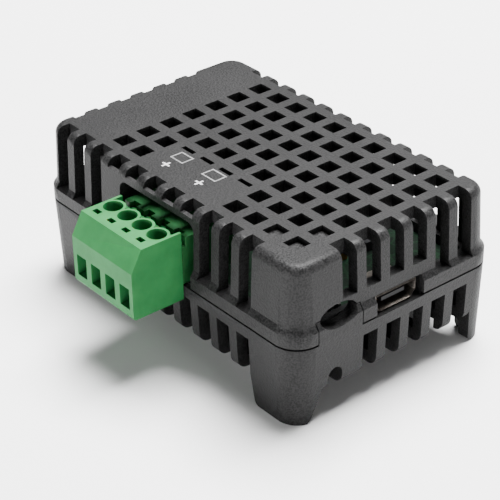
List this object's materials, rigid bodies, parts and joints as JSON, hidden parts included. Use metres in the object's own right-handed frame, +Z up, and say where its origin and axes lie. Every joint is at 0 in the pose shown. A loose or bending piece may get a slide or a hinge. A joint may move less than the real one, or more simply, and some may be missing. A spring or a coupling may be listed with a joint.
{
  "type": "vented rack temperature sensor",
  "caption": "Latticed two-part sensor box on corner feet, with a pluggable screw terminal on one long side and a micro-USB inlet at one end.",
  "frame": {"origin": "on the surface that the feet stand on, under the middle of the module's outline with its plug", "axes": "+X towards the micro-USB inlet, -Y towards the screw terminal, +Z up from the feet to the latticed roof"},
  "size_m": [0.06, 0.0478, 0.0255],
  "materials": {
    "case_plastic": "fine spark-eroded charcoal plastic",
    "terminal_plastic": "satin green terminal plastic",
    "board_laminate": "solder mask over glass laminate",
    "dark_plastic": "moulded black plastic",
    "chip_plastic": "moulded chip body",
    "socket_steel": "nickel-plated folded sheet",
    "tinned_pin": "tinned copper alloy",
    "clamp_metal": "nickel-plated brass clamp",
    "screw_steel": "zinc-plated steel",
    "contact_metal": "gold flash over bronze",
    "can_metal": "lidded metal can",
    "tantalum_body": "moulded capacitor body",
    "resistor_body": "glazed resistor body",
    "ceramic_body": "ceramic capacitor body"
  },
  "bodies": {
    "root": {"top_cover": "case_plastic", "base_shell": "case_plastic", "main_board": "board_laminate", "terminal_header": "terminal_plastic", "terminal_plug": "terminal_plastic", "usb_shell": "socket_steel", "usb_insulator": "dark_plastic", "sensor_board": "board_laminate", "sensor_chip": "chip_plastic", "sensor_strip": "dark_plastic", "microcontroller": "chip_plastic", "voltage_regulator": "chip_plastic", "header_pin_1": "tinned_pin", "header_pin_2": "tinned_pin", "header_pin_3": "tinned_pin", "header_pin_4": "tinned_pin", "clamp_cage_1": "clamp_metal", "clamp_cage_2": "clamp_metal", "clamp_cage_3": "clamp_metal", "clamp_cage_4": "clamp_metal", "clamp_screw_1": "screw_steel", "clamp_screw_2": "screw_steel", "clamp_screw_3": "screw_steel", "clamp_screw_4": "screw_steel", "usb_contact_1": "contact_metal", "usb_contact_2": "contact_metal", "usb_contact_3": "contact_metal", "usb_contact_4": "contact_metal", "usb_contact_5": "contact_metal", "sensor_pin_1": "tinned_pin", "sensor_pin_2": "tinned_pin", "sensor_pin_3": "tinned_pin", "sensor_pin_4": "tinned_pin", "crystal": "can_metal", "reservoir_capacitor": "tantalum_body", "input_guard_1": "chip_plastic", "input_guard_2": "chip_plastic", "resistor_1": "resistor_body", "resistor_2": "resistor_body", "resistor_3": "resistor_body", "resistor_4": "resistor_body", "capacitor_1": "ceramic_body", "capacitor_2": "ceramic_body", "capacitor_3": "ceramic_body", "capacitor_4": "ceramic_body"}
  },
  "joints": []
}
